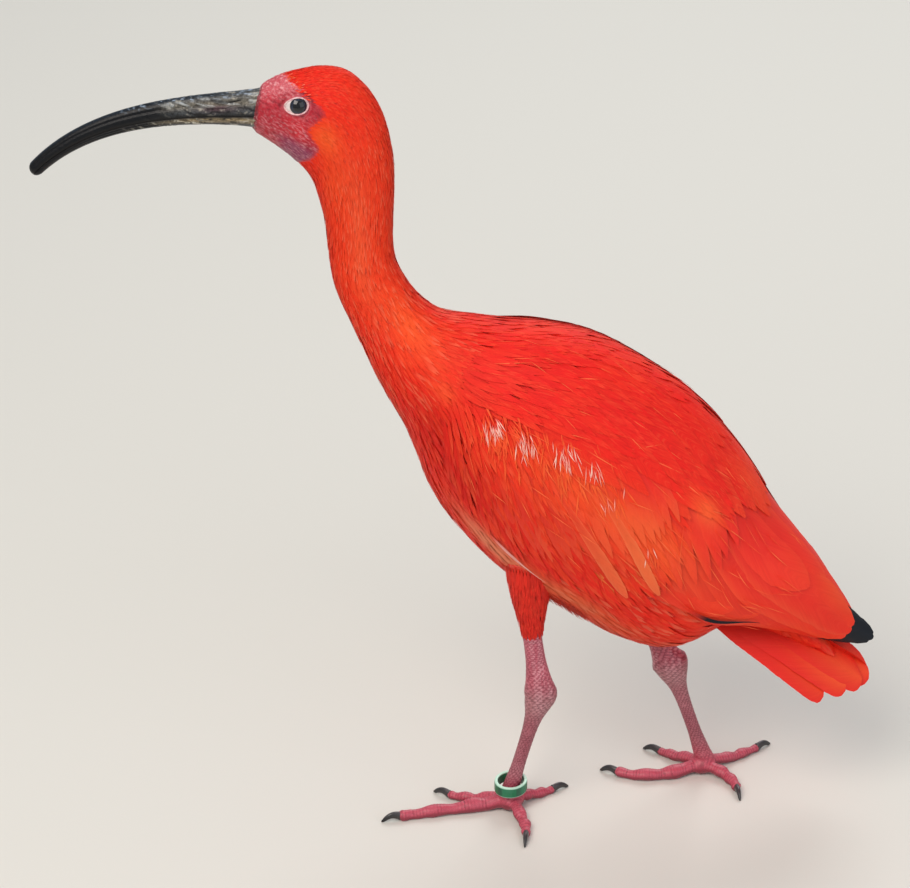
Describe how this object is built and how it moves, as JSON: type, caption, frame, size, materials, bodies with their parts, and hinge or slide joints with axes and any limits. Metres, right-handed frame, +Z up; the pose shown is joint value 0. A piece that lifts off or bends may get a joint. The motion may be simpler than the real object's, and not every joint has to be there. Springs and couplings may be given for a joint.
{
  "type": "scarlet ibis",
  "caption": "Life-size still model of a scarlet ibis walking, with a long down-curved bill, folded wings and a loose leg ring.",
  "frame": {"origin": "middle of the model's base, on the floor that it stands on", "axes": "+Z up, the bill points along -X and the bird's left side faces -Y"},
  "size_m": [0.5024, 0.1302, 0.4844],
  "materials": {
    "plumage": "soft scarlet contour feathers",
    "flight_feathers": "smooth scarlet vanes, black at the wing points",
    "bill": "horn, dark grey with a black tip",
    "leg_skin": "pink scaled skin",
    "claw": "dark horn",
    "eye": "wet, glossy, near black",
    "band": "green moulded plastic"
  },
  "bodies": {
    "root": {"head": "plumage", "eye_left": "eye", "eye_right": "eye", "bill_upper": "bill", "bill_lower": "bill", "neck_upper": "plumage", "neck_middle": "plumage", "neck_lower": "plumage", "torso": "plumage", "wing_left": "flight_feathers", "wing_right": "flight_feathers", "tail": "flight_feathers", "thigh_left": "plumage", "shank_left": "leg_skin", "tarsus_left": "leg_skin", "foot_left": "leg_skin", "toe_middle_left": "leg_skin", "claw_middle_left": "claw", "toe_inner_left": "leg_skin", "claw_inner_left": "claw", "toe_outer_left": "leg_skin", "claw_outer_left": "claw", "toe_hind_left": "leg_skin", "claw_hind_left": "claw", "thigh_right": "plumage", "shank_right": "leg_skin", "tarsus_right": "leg_skin", "foot_right": "leg_skin", "toe_middle_right": "leg_skin", "claw_middle_right": "claw", "toe_inner_right": "leg_skin", "claw_inner_right": "claw", "toe_outer_right": "leg_skin", "claw_outer_right": "claw", "toe_hind_right": "leg_skin", "claw_hind_right": "claw", "leg_band": "band"}
  },
  "joints": []
}
